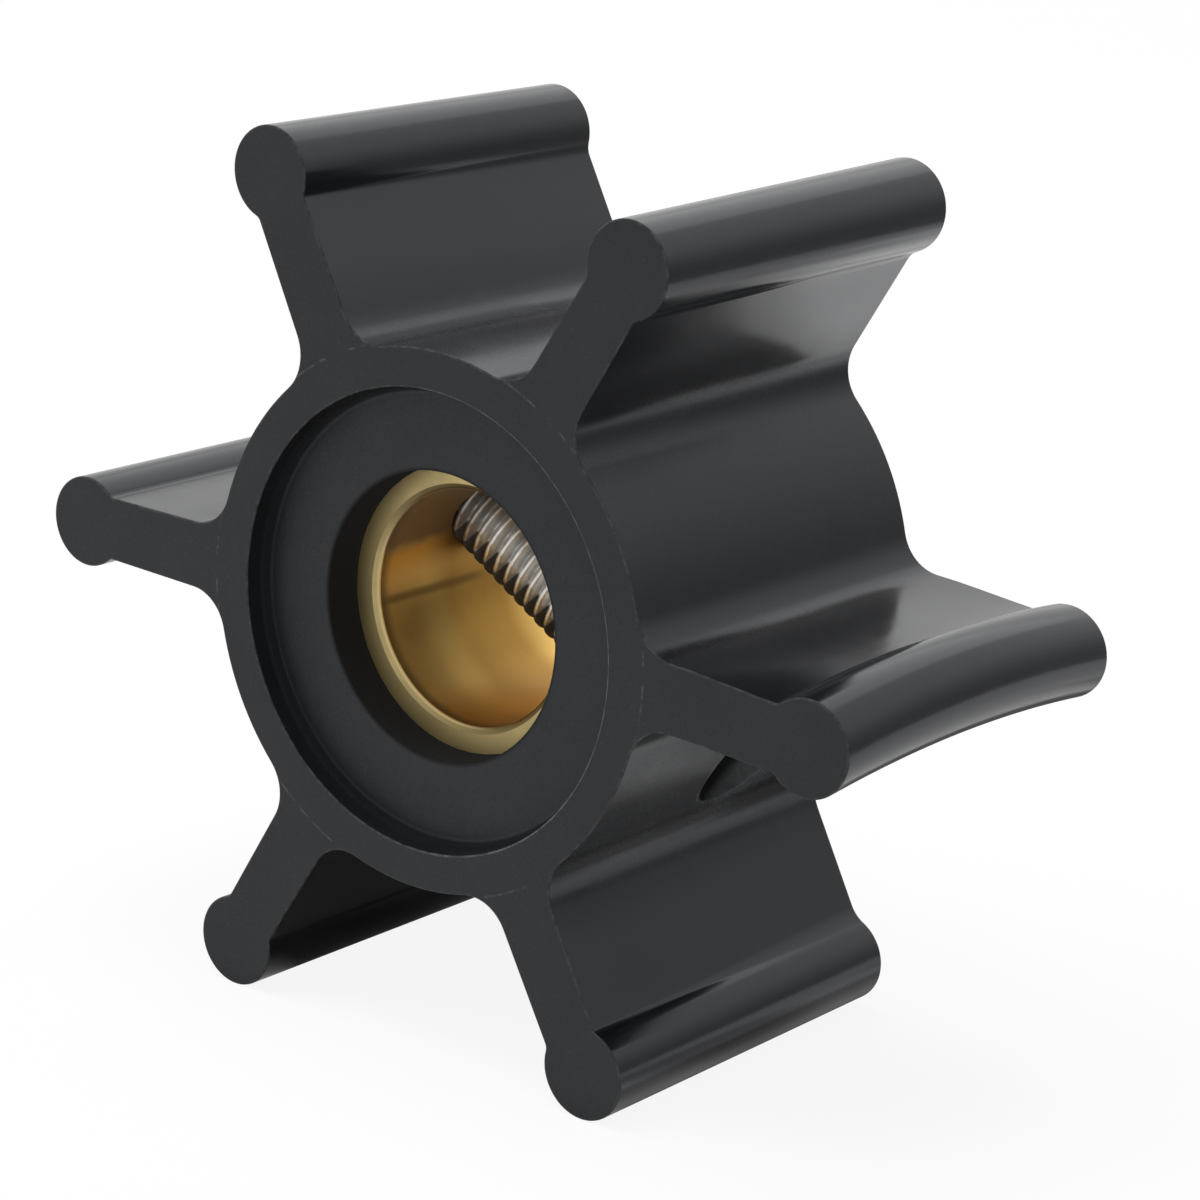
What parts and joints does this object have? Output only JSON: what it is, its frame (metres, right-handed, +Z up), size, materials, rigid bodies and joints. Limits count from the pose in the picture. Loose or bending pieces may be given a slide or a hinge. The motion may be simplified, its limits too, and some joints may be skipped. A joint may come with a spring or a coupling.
{
  "type": "pump impeller",
  "caption": "Flexible rubber pump impeller with bulb-tipped vanes, moulded round a brass hub insert whose bore is crossed by a threaded drive screw.",
  "frame": {"origin": "centre of the shaft bore, at the middle of the impeller's width", "axes": "+Y along the shaft bore from the front end to the back end, +Z up with the impeller standing on two vane tips, +X to the right as seen from the front"},
  "size_m": [0.051, 0.022, 0.0451],
  "materials": {
    "black_rubber": "satin",
    "brass": "satin",
    "screw_steel": "gloss"
  },
  "bodies": {
    "root": {"rubber_body": "black_rubber", "brass_insert": "brass", "drive_screw": "screw_steel"}
  },
  "joints": []
}
